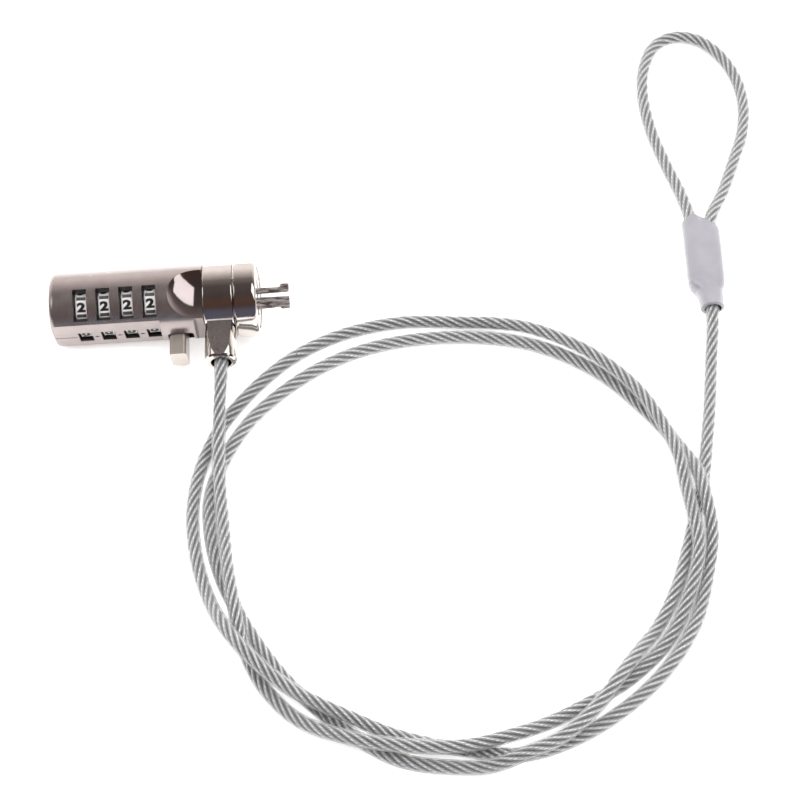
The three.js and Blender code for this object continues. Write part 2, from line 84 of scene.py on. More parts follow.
WINDOW_WIDTH = 3.9
WINDOW_FROM = math.radians(43)
WINDOW_TO = math.radians(94)
FLAT_WINDOW_TOP = 1.4
FLAT_WINDOW_BOTTOM = -3.6
INDEX_HEIGHT = -1.1
INDEX_DEPTH = 0.3
INDEX_HALF_WIDTH = 0.14
INDEX_END = 7.2

LEVER_FROM = 33.5
LEVER_WIDTH = 4.7
LEVER_TOP = 1.0
LEVER_BOTTOM = -6.7
LEVER_REACH = 16.4
TRAVEL = 1.8
SLOT_FROM = 33.1
SLOT_END = LEVER_FROM + LEVER_WIDTH + TRAVEL + 0.3
SLOT_GAP = 0.4

SCOOP_STATION = 42.6
SCOOP_ANGLE = math.radians(78)
SCOOP_RADIUS = 11.2
SCOOP_DISTANCE = 17.9
SCOOP_STRETCH = 1.45

COLLAR_FROM = 44.0
COLLAR_TO = 52.3
COLLAR_RADIUS = 10.9
BOSS_REACH = 20.7
BOSS_BORE = 2.9
BOSS_FLAT = 4.1
BOSS_SLANT = math.radians(4.5)
BORE_SIDES = 48

NOSE_FROM = 52.7
NOSE_TO = 58.9
NOSE_RADIUS = 11.0
FACE_RADIUS = 8.6
FRONT_BORE = 5.7

CLAW_FROM = 51.6
CLAW_TIP = 67.6
HOOK_FROM = 64.9
HOOK_HEIGHT = 3.6
CLAW_THICKNESS = 2.6
STREAKS_PER_METRE = (260, 1300, 1300)

CABLE_RADIUS = 2.0
ROPE_RADIUS = 1.72
STRANDS = 6
POINTS_PER_STRAND = 6
WIRES_PER_STRAND = 3
LAY_LENGTH = 20.0
JACKET_SIDES = 20
JACKET_STEP = 2.0
ROPE_STEP = 1.25
# Base colour from the groove between two strands (0) to a strand's crest (1): painted shade in the
# grooves, the strand's own grey between, and a painted glint along each crest.
ROPE_SHADE_AND_GLINT_TONES = [(0, (0.10, 0.105, 0.11)), (0.4, (0.25, 0.255, 0.26)), (0.8, (0.40, 0.405, 0.41)),
              (0.9, (0.50, 0.505, 0.51)), (0.97, (0.92, 0.92, 0.92))]

LOOP_SLEEVE_X = 154.0
LOOP_SLEEVE_Z = 3.6
SLEEVE_TOP = 33.4
SLEEVE_SLANTS = (-32, 38)  # degrees, of the two cuts at the sleeve's mouth

CAMERA_PLACE = (51.64, -307.65, 494.5)
CAMERA_TARGET = (63.6, -22.4, 0)
FOCAL_LENGTH = 91.2
SENSOR_WIDTH = 36
FLOOR_REACH = 4  # metres

# The studio's tone at each height angle about the X axis, from the near horizon at 0 over the top.
STUDIO_TONES = [
    (0, (0.17, 0.16, 0.22)), (22, (0.13, 0.14, 0.19)), (36, (0.12, 0.07, 0.07)),
    (50, (0.13, 0.075, 0.055)), (72, (0.10, 0.08, 0.082)), (100, (0.13, 0.11, 0.105)),
    (118, (0.28, 0.24, 0.23)), (136, (0.82, 0.74, 0.73)), (157, (1.55, 1.45, 1.43)),
    (175, (1.6, 1.55, 1.52)),
]

# The cable's centreline, from the collar's boss to its end inside the loop sleeve, in millimetres.
CABLE_ROUTE = [
    (14.25, -8.3, 12.9), (14.25, -17, 12.7), (13.6, -28, 10.0), (13.2, -38, 7.6), (13.4, -50, 5.9),
    (14.4, -63, 5.2), (15.6, -76, 5.9), (17.4, -87, 5.9), (19.6, -97.5, 4.0), (24.6, -108, 2.1),
    (33.2, -117.2, 2), (46.5, -124.2, 6.0), (60, -127, 6.4), (76, -127.6, 6.2), (88, -124.8, 5.2),
    (97, -121.4, 3.2), (107, -116.6, 2), (120, -109.5, 2), (131.5, -98.5, 2), (138.6, -85, 4.0),
    (141.7, -73, 5.6), (141.0, -64, 6.2), (139.9, -55, 5.8), (139.0, -46.5, 6.6), (136.0, -37, 6.2),
    (129.5, -24.5, 6.0), (117.5, -12.3, 5.8), (102, -3.4, 5.2), (92, -0.2, 3.6), (81, 1.6, 2),
    (64.5, 2.2, 2), (48, -1.2, 2), (34, -8.2, 2), (22, -19, 2), (13, -31, 2),
    (7.8, -43, 2), (5.7, -56, 2), (6.8, -70, 2), (10.4, -83, 3.0), (15.2, -93.5, 7.5),
    (22.2, -102.5, 8.0), (31.5, -110.3, 6.3), (45.5, -118.0, 5.9), (59, -123.0, 2.6),
    (75, -127, 2), (91, -129, 2), (104, -125.5, 2), (117.5, -118, 2), (130, -107, 2),
    (139, -94, 2), (143.8, -80, 2), (145.9, -69, 4.2), (145.0, -59, 6.2), (143.7, -51, 5.6),
    (140.6, -42, 2.3), (131.5, -29, 2), (119.5, -16.5, 2), (104, -7.6, 2), (87, -3.8, 2),
    (66, -4.0, 2), (50, -8, 2), (36, -15.5, 2), (22, -28, 2), (14.2, -41, 2),
    (10.6, -52, 2), (10.9, -65, 2), (13.8, -77, 2), (18.8, -88, 2), (24.8, -98.3, 2),
    (31.7, -107.6, 2), (44, -119.5, 2), (58.5, -129, 2), (74, -132, 2.4), (83, -132.4, 4.2),
    (91, -130.2, 6.1), (101, -126, 6.2), (110.5, -118, 6.3), (117, -110, 6.3), (122.5, -103, 4.4),
    (128.5, -95.5, 2), (134.5, -85, 2), (139, -73, 2), (142.6, -62, 2), (145.8, -52, 2),
    (147.8, -42, 2), (150.2, -29, 2), (152.4, -14, 2.2), (154.0, -3, 3.2), (154.7, 5, 3.6),
    (156.1, 13.5, 3.6), (156.15, 26, 3.6), (157.8, 34, 3.5), (162.5, 43.5, 2.6), (167.6, 56, 2),
    (171.6, 67, 2), (173, 79, 2), (171.3, 89, 2), (167.4, 97, 2), (161.9, 102.4, 2),
    (155.0, 104.0, 2), (148.4, 100.8, 2), (144.3, 93, 2), (142.6, 82, 2), (143.7, 68, 2),
    (146.8, 55, 2), (149.8, 44, 2.7), (151.6, 34, 3.5), (151.85, 24, 3.6), (151.85, 14, 3.6),
]


# ---- camera ----

def make_camera():
    target = Vector(CAMERA_TARGET) * MM
    lens = bpy.data.cameras.new("camera")
    lens.sensor_width = SENSOR_WIDTH
    lens.lens = FOCAL_LENGTH
    lens.clip_start = 0.01
    camera = bpy.data.objects.new("camera", lens)
    camera.location = Vector(CAMERA_PLACE) * MM
    camera.rotation_euler = (target - camera.location).to_track_quat("-Z", "Y").to_euler()
    bpy.context.collection.objects.link(camera)
    bpy.context.scene.camera = camera


# ---- materials ----

def new_material(name):
    material = bpy.data.materials.new(name)
    material.use_nodes = True
    return material, material.node_tree.nodes, material.node_tree.links


def noise_from(nodes, links, vector, scale, detail):
    texture = nodes.new("ShaderNodeTexNoise")
    texture.inputs["Scale"].default_value = scale
    texture.inputs["Detail"].default_value = detail
    links.new(vector, texture.inputs["Vector"])
    return texture.outputs["Fac"]


def noise(nodes, links, scale, detail):
    """Noise on the object's own coordinates; scale is features per metre."""
    coordinates = nodes.new("ShaderNodeTexCoord")
    return noise_from(nodes, links, coordinates.outputs["Object"], scale, detail)


def math_node(nodes, links, operation, first, second=None):
    made = nodes.new("ShaderNodeMath")
    made.operation = operation
    links.new(first, made.inputs[0])
    if second is not None:
        if isinstance(second, (int, float)):
            made.inputs[1].default_value = second
        else:
            links.new(second, made.inputs[1])
    return made.outputs["Value"]


def ramp(nodes, links, factor, low, high, start=0.3, end=0.7):
    made = nodes.new("ShaderNodeValToRGB")
    made.color_ramp.elements[0].position = start
    made.color_ramp.elements[0].color = (*low, 1)
    made.color_ramp.elements[1].position = end
    made.color_ramp.elements[1].color = (*high, 1)
    links.new(factor, made.inputs["Fac"])
    return made.outputs["Color"]


def set_stops(made, stops):
    elements = made.color_ramp.elements
    while len(elements) < len(stops):
        elements.new(0.5)
    for element, (position, colour) in zip(elements, stops):
        element.position = position
        element.color = (*colour, 1)


def spread(nodes, links, factor, low, high, start=0):
    made = nodes.new("ShaderNodeMapRange")
    made.inputs["From Min"].default_value = start
    made.inputs["To Min"].default_value = low
    made.inputs["To Max"].default_value = high
    links.new(factor, made.inputs["Value"])
    return made.outputs["Result"]


def bump(nodes, links, height, strength, distance):
    made = nodes.new("ShaderNodeBump")
    made.inputs["Strength"].default_value = strength
    made.inputs["Distance"].default_value = distance
    links.new(height, made.inputs["Height"])
    return made.outputs["Normal"]


def plated_metal(name, dark, light, rough, grain=0.04, metallic=1.0):
    """Polished plating: slight cloudiness in colour and gloss, and a very fine orange peel."""
    material, nodes, links = new_material(name)
    shader = nodes["Principled BSDF"]
    shader.inputs["Metallic"].default_value = metallic
    cloud = noise(nodes, links, 260, 3)
    fine = noise(nodes, links, 2600, 2)
    links.new(ramp(nodes, links, cloud, dark, light), shader.inputs["Base Color"])
    links.new(spread(nodes, links, cloud, rough * 0.75, rough * 1.3), shader.inputs["Roughness"])
    links.new(bump(nodes, links, fine, grain, 0.0001), shader.inputs["Normal"])
    return material


def satin_paint(name, dark, light, rough, metallic):
    """Matt silver plating that also scatters light, with fine speckle."""
    material, nodes, links = new_material(name)
    shader = nodes["Principled BSDF"]
    shader.inputs["Metallic"].default_value = metallic
    cloud = noise(nodes, links, 500, 3)
    fine = noise(nodes, links, 4200, 3)
    links.new(ramp(nodes, links, fine, dark, light), shader.inputs["Base Color"])
    links.new(spread(nodes, links, cloud, rough * 0.8, rough * 1.2), shader.inputs["Roughness"])
    links.new(bump(nodes, links, fine, 0.25, 0.0001), shader.inputs["Normal"])
    return material


def streaked_metal(name, dark, light, rough):
    """Cast and tumbled metal: uneven streaks that run along the lock's axis."""
    material, nodes, links = new_material(name)
    shader = nodes["Principled BSDF"]
    shader.inputs["Metallic"].default_value = 0.9
    coordinates = nodes.new("ShaderNodeTexCoord")
    stretch = nodes.new("ShaderNodeVectorMath")
    stretch.operation = "MULTIPLY"
    stretch.inputs[1].default_value = STREAKS_PER_METRE
    links.new(coordinates.outputs["Object"], stretch.inputs[0])
    streaks = noise_from(nodes, links, stretch.outputs["Vector"], 1, 3)
    links.new(ramp(nodes, links, streaks, dark, light, 0.36, 0.62), shader.inputs["Base Color"])
    links.new(spread(nodes, links, streaks, rough * 0.8, rough * 1.4), shader.inputs["Roughness"])
    links.new(bump(nodes, links, streaks, 0.6, 0.0003), shader.inputs["Normal"])
    return material


def moulded_plastic(name, low, high, rough):
    material, nodes, links = new_material(name)
    shader = nodes["Principled BSDF"]
    cloud = noise(nodes, links, 120, 3)
    links.new(ramp(nodes, links, cloud, low, high), shader.inputs["Base Color"])
    links.new(spread(nodes, links, cloud, rough * 0.8, rough * 1.3), shader.inputs["Roughness"])
    links.new(bump(nodes, links, noise(nodes, links, 900, 2), 0.05, 0.0002), shader.inputs["Normal"])
    shader.inputs["Coat Weight"].default_value = 0.6
    shader.inputs["Coat Roughness"].default_value = 0.06
    return material


# Dark glossy enamel for the digits; also the near-black painted shade inside the openings and in the
# grooves between the digits.
def enamel(name, colour):
    material, nodes, links = new_material(name)
    shader = nodes["Principled BSDF"]
    cloud = noise(nodes, links, 900, 3)
    worn = [channel * 1.6 + 0.004 for channel in colour]
    links.new(ramp(nodes, links, cloud, colour, worn), shader.inputs["Base Color"])
    links.new(spread(nodes, links, cloud, 0.35, 0.6), shader.inputs["Roughness"])
    return material


def wire_rope(name):
    """Strands with painted shade in the grooves between them and a painted glint along each crest, and
    fine wires that run along the rope with painted shade between them.
    """
    material, nodes, links = new_material(name)
    shader = nodes["Principled BSDF"]
    shader.inputs["Metallic"].default_value = 0.55
    lay = nodes.new("ShaderNodeUVMap")
    lay.uv_map = "lay"
    parts = nodes.new("ShaderNodeSeparateXYZ")
    links.new(lay.outputs["UV"], parts.inputs["Vector"])
    within = math_node(nodes, links, "FRACT", parts.outputs["X"])
    crest = math_node(nodes, links, "SINE", math_node(nodes, links, "MULTIPLY", within, math.pi))
    along = nodes.new("ShaderNodeVectorMath")
    along.operation = "DOT_PRODUCT"
    wires = 2 * math.pi * WIRES_PER_STRAND
    along.inputs[1].default_value = (wires, wires * STRANDS / LAY_LENGTH, 0)
    links.new(lay.outputs["UV"], along.inputs[0])
    wire = math_node(nodes, links, "SINE", along.outputs["Value"])
    tone = noise(nodes, links, 900, 3)
    # Darker between the fine wires: painted shade.
    fine = spread(nodes, links, wire, 0.86, 1.0, -1)
    shade = math_node(nodes, links, "MULTIPLY", crest, spread(nodes, links, tone, 0.86, 1.12))
    # The ramp paints shade into the grooves and a glint onto the crests.
    shade_and_glint = nodes.new("ShaderNodeValToRGB")
    set_stops(shade_and_glint, ROPE_SHADE_AND_GLINT_TONES)
    links.new(math_node(nodes, links, "MULTIPLY", shade, fine), shade_and_glint.inputs["Fac"])
    links.new(shade_and_glint.outputs["Color"], shader.inputs["Base Color"])
    links.new(spread(nodes, links, tone, 0.22, 0.4), shader.inputs["Roughness"])
    links.new(bump(nodes, links, wire, 0.5, 0.0001), shader.inputs["Normal"])
    return material


def clear_jacket(name):
    """Clear soft plastic: see-through from the front, greyer and glossy towards its edges."""
    material, nodes, links = new_material(name)
    shader = nodes["Principled BSDF"]
    cloud = noise(nodes, links, 220, 3)
    tone = ramp(nodes, links, cloud, (0.42, 0.43, 0.43), (0.5, 0.51, 0.51))
    links.new(tone, shader.inputs["Base Color"])
    links.new(spread(nodes, links, cloud, 0.08, 0.2), shader.inputs["Roughness"])
    edge = nodes.new("ShaderNodeLayerWeight")
    edge.inputs["Blend"].default_value = 0.3
    links.new(spread(nodes, links, edge.outputs["Facing"], 0.10, 0.7), shader.inputs["Alpha"])
    return material


def pale_floor(name):
    material, nodes, links = new_material(name)
    shader = nodes["Principled BSDF"]
    tone = ramp(nodes, links, noise(nodes, links, 6, 2), (0.93, 0.93, 0.93), (0.95, 0.95, 0.95))
    links.new(tone, shader.inputs["Base Color"])
    shader.inputs["Roughness"].default_value = 0.7
    shader.inputs["Specular IOR Level"].default_value = 0.2
    shader.inputs["Emission Color"].default_value = (1, 1, 1, 1)
    shader.inputs["Emission Strength"].default_value = 0.5
    return material


# ---- mesh helpers: everything is built in millimetres and placed in metres ----

def link_mesh(name, vertices, faces):
    mesh = bpy.data.meshes.new(name)
    mesh.from_pydata([Vector(v) for v in vertices], [], faces)
    mesh.update()
    made = bpy.data.objects.new(name, mesh)
    bpy.context.collection.objects.link(made)
    return made


def faces_between_rings(rows, sides):
    """The four-sided faces of a tube whose rings of points follow one another."""
    faces = []
    for row in range(rows - 1):
        here = row * sides
        after = here + sides
        for k in range(sides):
            n = (k + 1) % sides
            faces.append((here + k, here + n, after + n, after + k))
    return faces


def turned(name, profile, segments=128):
    """A turned shape about X from (station, radius) pairs. It starts and ends on the axis, or closes."""
    rings = [p for p in profile if p[1] > 0]
    vertices = []
    for station, radius in rings:
        for k in range(segments):
            angle = 2 * math.pi * k / segments
            vertices.append((station, radius * math.cos(angle), radius * math.sin(angle)))
    faces = []
    count = len(rings)
    closed = profile[0] == profile[-1]
    last = count - 1
    for row in range(last):
        here = row * segments
        after = (row + 1) % (last if closed else count) * segments
        for k in range(segments):
            n = (k + 1) % segments
            faces.append((here + k, after + k, after + n, here + n))
    if closed:
        vertices = vertices[: last * segments]
    else:
        faces.append(tuple(range(segments)))
        faces.append(tuple(reversed(range(last * segments, count * segments))))
    made = link_mesh(name, vertices, faces)
    fix_normals(made.data)
    return made


def fix_normals(mesh):
    work = bmesh.new()
    work.from_mesh(mesh)
    bmesh.ops.recalc_face_normals(work, faces=work.faces)
    work.to_mesh(mesh)
    work.free()


def disc(start, end, radius, segments=96):
    return turned("cutter", [(start, 0), (start, radius), (end, radius), (end, 0)], segments)


def block(x, y, z):
    corners = [(x[i], y[j], z[k]) for i in (0, 1) for j in (0, 1) for k in (0, 1)]
    faces = [(0, 1, 3, 2), (4, 6, 7, 5), (0, 4, 5, 1), (2, 3, 7, 6), (0, 2, 6, 4), (1, 5, 7, 3)]
    return link_mesh("cutter", corners, faces)


def prism(name, outline, to_point, low, high):
    """A closed outline swept between two depths; to_point turns (a, b, depth) into X, Y, Z."""
    count = len(outline)
    vertices = [to_point(a, b, low) for a, b in outline] + [to_point(a, b, high) for a, b in outline]
    faces = [tuple(range(count)), tuple(reversed(range(count, 2 * count)))]
    for k in range(count):
        n = (k + 1) % count
        faces.append((k, n, count + n, count + k))
    made = link_mesh(name, vertices, faces)
    fix_normals(made.data)
    return made


def sphere(centre, radius):
    made = bpy.data.objects.new("cutter", bpy.data.meshes.new("cutter"))
    bpy.context.collection.objects.link(made)
    work = bmesh.new()
    bmesh.ops.create_uvsphere(work, u_segments=128, v_segments=64, radius=radius)
    bmesh.ops.translate(work, vec=Vector(centre), verts=work.verts)
    work.to_mesh(made.data)
    work.free()
    return made


def rounded_rectangle(x0, x1, y0, y1, radius):
    steps = 8
    points = []
    for cx, cy, start in ((x1 - radius, y0 + radius, -90), (x1 - radius, y1 - radius, 0),
                          (x0 + radius, y1 - radius, 90), (x0 + radius, y0 + radius, 180)):
        for k in range(steps + 1):
            angle = math.radians(start + 90 * k / steps)
            points.append((cx + radius * math.cos(angle), cy + radius * math.sin(angle)))
    return points


def loft_along_y(name, sections, sides=96, rows=6):
    """A closed loft through rounded sections, each (y, x, z, half x, half z, squareness)."""
    fine = []
    for first, second in zip(sections, sections[1:]):
        for k in range(rows):
            t = k / rows
            fine.append([a + (b - a) * t for a, b in zip(first, second)])
    fine.append(list(sections[-1]))
    vertices = []
    for y, x, z, half_x, half_z, square in fine:
        for k in range(sides):
            angle = 2 * math.pi * (k + 0.5) / sides
            c, s = math.cos(angle), math.sin(angle)
            vertices.append((x + half_x * math.copysign(abs(c) ** (2 / square), c), y,
                             z + half_z * math.copysign(abs(s) ** (2 / square), s)))
    faces = faces_between_rings(len(fine), sides)
    faces.append(tuple(range(sides)))
    faces.append(tuple(reversed(range(len(vertices) - sides, len(vertices)))))
    made = link_mesh(name, vertices, faces)
    fix_normals(made.data)
    return made


def combine(target, tools, operation="DIFFERENCE"):
    """Cuts the tools out of the target, or joins them to it, and deletes the tools."""
    for tool in tools:
        modifier = target.modifiers.new("cut", "BOOLEAN")
        modifier.operation = operation
        modifier.solver = "EXACT"
        modifier.object = tool
    bake(target)
    for tool in tools:
        bpy.data.objects.remove(tool)
    return target


def bake(target):
    bpy.context.view_layer.update()
    evaluated = target.evaluated_get(bpy.context.evaluated_depsgraph_get())
    mesh = bpy.data.meshes.new_from_object(evaluated)
    target.modifiers.clear()
    target.data = mesh


def smooth_shade(made, angle):
    """Smooth shading that keeps sharp edges sharp and lets the larger faces set the normals."""
    mesh = made.data
    mesh.polygons.foreach_set("use_smooth", [True] * len(mesh.polygons))
    mesh.set_sharp_from_angle(angle=math.radians(angle))
    modifier = made.modifiers.new("normals", "WEIGHTED_NORMAL")
    modifier.keep_sharp = True
    modifier.weight = 70
    bake(made)


def finish_piece(made, body, material, replaces=(), place=BODY, bevel=0.12, angle=32):
    """Softens the edges, shades it, places it in the row frame and rides it on its CAD body."""
    if bevel:
        modifier = made.modifiers.new("edge", "BEVEL")
        modifier.width = bevel
        modifier.segments = 2
        modifier.limit_method = "ANGLE"
        modifier.angle_limit = math.radians(angle)
        modifier.use_clamp_overlap = True
        bake(made)
    smooth_shade(made, angle)
    mesh = made.data
    mesh.transform(Matrix.Scale(MM, 4) @ place)
    mesh.materials.clear()
    mesh.materials.append(material)
    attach(made, body)
    if replaces:
        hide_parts(*replaces)
    return made


def around(angle, radius):
    """Y and Z of a point at an angle about the axis, from the flat's side (-Y) up towards +Z."""
    return (-radius * math.cos(angle), radius * math.sin(angle))


def along_x(a, b, depth):
    return (depth, a, b)


def along_y(a, b, depth):
    return (a, depth, b)


def along_z(a, b, depth):
    return (a, b, depth)


def wheel_station(number):
    return FIRST_WHEEL + (number - 1) * WHEEL_PITCH


# ---- cable ----

def route_line(points):
    """A centripetal Catmull-Rom line through the points, as close points in millimetres."""
    per_span = 14
    control = [Vector(p) for p in points]
    control = [2 * control[0] - control[1]] + control + [2 * control[-1] - control[-2]]
    line = []
    for p0, p1, p2, p3 in zip(control, control[1:], control[2:], control[3:]):
        t1 = (p1 - p0).length ** 0.5
        t2 = t1 + (p2 - p1).length ** 0.5
        t3 = t2 + (p3 - p2).length ** 0.5
        for k in range(per_span):
            t = t1 + (t2 - t1) * k / per_span
            a1 = p0 * ((t1 - t) / t1) + p1 * (t / t1)
            a2 = p1 * ((t2 - t) / (t2 - t1)) + p2 * ((t - t1) / (t2 - t1))
            a3 = p2 * ((t3 - t) / (t3 - t2)) + p3 * ((t - t2) / (t3 - t2))
            b1 = a1 * ((t2 - t) / t2) + a2 * (t / t2)
            b2 = a2 * ((t3 - t) / (t3 - t1)) + a3 * ((t - t1) / (t3 - t1))
            line.append(b1 * ((t2 - t) / (t2 - t1)) + b2 * ((t - t1) / (t2 - t1)))
    line.append(control[-2])
    return line


def even_line(line, step):
    """The same line with points an even step apart, and its length."""
    total = sum((b - a).length for a, b in zip(line, line[1:]))
    count = round(total / step)
    spacing = total / count
    points = [line[0]]
    walked = 0.0
    for a, b in zip(line, line[1:]):
        span = (b - a).length
        while len(points) < count and walked + span >= spacing * len(points):
            points.append(a.lerp(b, (spacing * len(points) - walked) / span))
        walked += span
    points.append(line[-1])
    return points, total


def turning_frames(points):
    """A steady pair of side directions at each point of a line, carried along without twist."""
    tangents = [(points[min(i + 1, len(points) - 1)] - points[max(i - 1, 0)]).normalized()
                for i in range(len(points))]
    side = tangents[0].cross(UP).normalized()
    frames = []
    for tangent in tangents:
        side = (side - tangent * side.dot(tangent)).normalized()
        frames.append((side, tangent.cross(side)))
    return frames


def swept_tube(name, points, sides, section, step):
    """A closed tube along points, a step apart. section(k, distance) places a ring's point k."""
    vertices = []
    for row, (point, (side, across)) in enumerate(zip(points, turning_frames(points))):
        for k in range(sides):
            radius, angle = section(k, row * step)
            beside = side * (radius * math.cos(angle))
            above = across * (radius * math.sin(angle))
            vertices.append(point + beside + above)
    faces = faces_between_rings(len(points), sides)
    faces.append(tuple(reversed(range(sides))))
    faces.append(tuple(range(len(vertices) - sides, len(vertices))))
    return link_mesh(name, vertices, faces)


def jacket_section(k, _distance):
    return CABLE_RADIUS, 2 * math.pi * k / JACKET_SIDES


def rope_section(k, distance):
    """Round strands side by side in a ring, turning with the lay."""
    strand = ROPE_RADIUS / 3 * 1.02
    ring = ROPE_RADIUS - strand
    within = k % POINTS_PER_STRAND / POINTS_PER_STRAND - 0.5
    offset = within * 2 * math.pi / STRANDS
    bulge = math.sqrt(max(strand ** 2 - (ring * math.sin(offset)) ** 2, 0))
    angle = 2 * math.pi * k / POINTS_PER_STRAND / STRANDS
    return ring * math.cos(offset) + bulge, angle + 2 * math.pi * distance / LAY_LENGTH


def lay_coordinates(mesh):
    """UV: whole numbers mark the grooves between strands, and V is the length along the rope in mm."""
    sides = STRANDS * POINTS_PER_STRAND
    layer = mesh.uv_layers.new(name="lay")
    for polygon in mesh.polygons:
        if len(polygon.loop_indices) > 4:
            continue
        places = [divmod(mesh.loops[loop].vertex_index, sides) for loop in polygon.loop_indices]
        wraps = max(k for _, k in places) - min(k for _, k in places) > 1
        for loop, (row, k) in zip(polygon.loop_indices, places):
            if wraps and k == 0:
                k = sides
            layer.data[loop].uv = (k / POINTS_PER_STRAND, row * ROPE_STEP)


def make_cable(jacket_look, rope_look):
    line = route_line(CABLE_ROUTE)
    points, length = even_line(line, JACKET_STEP)
    jacket = swept_tube("cable_jacket", points, JACKET_SIDES, jacket_section, JACKET_STEP)
    rope_points = even_line(line, ROPE_STEP)[0]
    rope_sides = STRANDS * POINTS_PER_STRAND
    rope = swept_tube("cable_rope", rope_points, rope_sides, rope_section, ROPE_STEP)
    lay_coordinates(rope.data)
    for piece, look in ((jacket, jacket_look), (rope, rope_look)):
        finish_piece(piece, "cable_assembly", look,
                     place=Matrix.Identity(4), bevel=0, angle=60)
    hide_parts("cable")
    return jacket, rope, [p * MM for p in points], length * MM


def make_loop_sleeve(look):
    """The glossy plastic sleeve over the crimp: wide over two strands, one-sided down to its neck."""
    sections = [
        (2.0, 0.5, 0, 3.0, 2.9, 2.0), (2.3, 0.5, 0, 3.45, 3.3, 2.0), (6.0, 0.4, 0, 3.7, 3.4, 2.2),
        (7.6, 0.2, 0, 4.0, 3.45, 2.2), (9.0, -0.1, 0, 4.9, 3.55, 2.3), (10.6, -0.25, 0, 5.4, 3.6, 2.5),
        (13.0, -0.25, 0, 5.55, 3.6, 2.6), (22.0, 0.0, 0, 5.6, 3.6, 2.6), (32.5, 0.2, 0, 5.65, 3.55, 2.6),
        (34.6, 0.2, 0, 5.55, 3.35, 2.6),
    ]
    sleeve = loft_along_y("glossy_sleeve", sections, 96, 4)
    neck = loft_along_y("cutter", [(-1, 0.3, 0, 2.4, 2.3, 2), (13, 1.9, 0, 2.6, 2.4, 2)], 48, 1)
    hollow = prism("cutter", rounded_rectangle(-4.9, 5.1, -2.55, 2.55, 2.5), along_y, 12.5, 40)
    # Both cuts at the mouth slant away from its highest point.
    cuts = [neck, hollow]
    top = Matrix.Translation((-2.4, SLEEVE_TOP, 0))
    for degrees in SLEEVE_SLANTS:
        cut = block((-12, 12), (0, 12), (-8, 8))
        cut.data.transform(top @ Matrix.Rotation(math.radians(degrees), 4, "Z"))
        cuts.append(cut)
    combine(sleeve, cuts)
    place = Matrix.Translation((LOOP_SLEEVE_X, 0, LOOP_SLEEVE_Z))
    return finish_piece(sleeve, "cable_assembly", look, ["loop_sleeve"], place,
                        bevel=0.35, angle=40)


# ---- lock body ----

def window_cutter(station):
    steps = 16
    outline = [around(WINDOW_FROM + (WINDOW_TO - WINDOW_FROM) * k / steps, BODY_RADIUS + 2)
               for k in range(steps + 1)]
    outline += [around(WINDOW_TO, WHEEL_RADIUS - 2), around(WINDOW_FROM, WHEEL_RADIUS - 2)]
    return prism("cutter", outline, along_x, station - WINDOW_WIDTH / 2, station + WINDOW_WIDTH / 2)


def index_marks():
    """A fine engraved line along the flat, with a short wedge between each pair of windows."""
    depth = FLAT_DEPTH - INDEX_DEPTH
    line = (INDEX_HEIGHT - INDEX_HALF_WIDTH, INDEX_HEIGHT + INDEX_HALF_WIDTH)
    marks = [block((-1, INDEX_END), (-FLAT_DEPTH - 1, -depth), line)]
    for number in WHEELS[:-1]:
        middle = wheel_station(number) + WHEEL_PITCH / 2
        outline = [(middle - 0.95, INDEX_HEIGHT), (middle - 0.2, INDEX_HEIGHT + 0.35),
                   (middle + 0.95, INDEX_HEIGHT), (middle - 0.2, INDEX_HEIGHT - 0.35)]
        marks.append(prism("cutter", outline, along_y, -FLAT_DEPTH - 1, -depth))
    return marks


def repaint(made, look, place, chosen):
    """Gives another material to the faces that chosen(centre, normal) picks, in the row frame."""
    made.data.materials.append(look)
    slot = len(made.data.materials) - 1
    back = (Matrix.Scale(MM, 4) @ place).inverted()
    for face in made.data.polygons:
        if chosen(back @ face.center, (back.to_3x3() @ face.normal).normalized()):
            face.material_index = slot


def inside_an_opening(centre, normal):
    """The walls inside the windows, the wheel pockets and the lever's slot, which are painted near-black
    as painted shade.
    """
    on_the_round = math.hypot(centre.y, centre.z) > BODY_RADIUS - 0.12
    on_the_flat = normal.y < -0.8 and centre.y < 0.09 - FLAT_DEPTH
    if on_the_round or on_the_flat:
        return False
    near_wheel = any(abs(centre.x - wheel_station(n)) < WINDOW_WIDTH / 2 + 0.11 for n in WHEELS)
    along_slot = SLOT_FROM - 0.1 < centre.x < SLOT_END + 0.1
    across_slot = LEVER_BOTTOM - 0.5 < centre.z < LEVER_TOP + 0.5
    return near_wheel or (along_slot and across_slot and centre.y < -4)


def scoop_frame():
    """The scoop's own frame: Y runs round the body and Z points outwards."""
    turn = Matrix.Rotation(math.pi / 2 - SCOOP_ANGLE, 4, "X")
    scoop_y, scoop_z = around(SCOOP_ANGLE, SCOOP_DISTANCE)
    return Matrix.Translation((SCOOP_STATION, scoop_y, scoop_z)) @ turn


def stretch_along_the_scoop(cutter):
    place = scoop_frame()
    cutter.data.transform(place @ Matrix.Diagonal((1, SCOOP_STRETCH, 1, 1)) @ place.inverted())


def in_the_scoop(centre, _normal):
    offset = scoop_frame().inverted() @ centre
    offset.y /= SCOOP_STRETCH
    return abs(offset.length - SCOOP_RADIUS) < 0.06


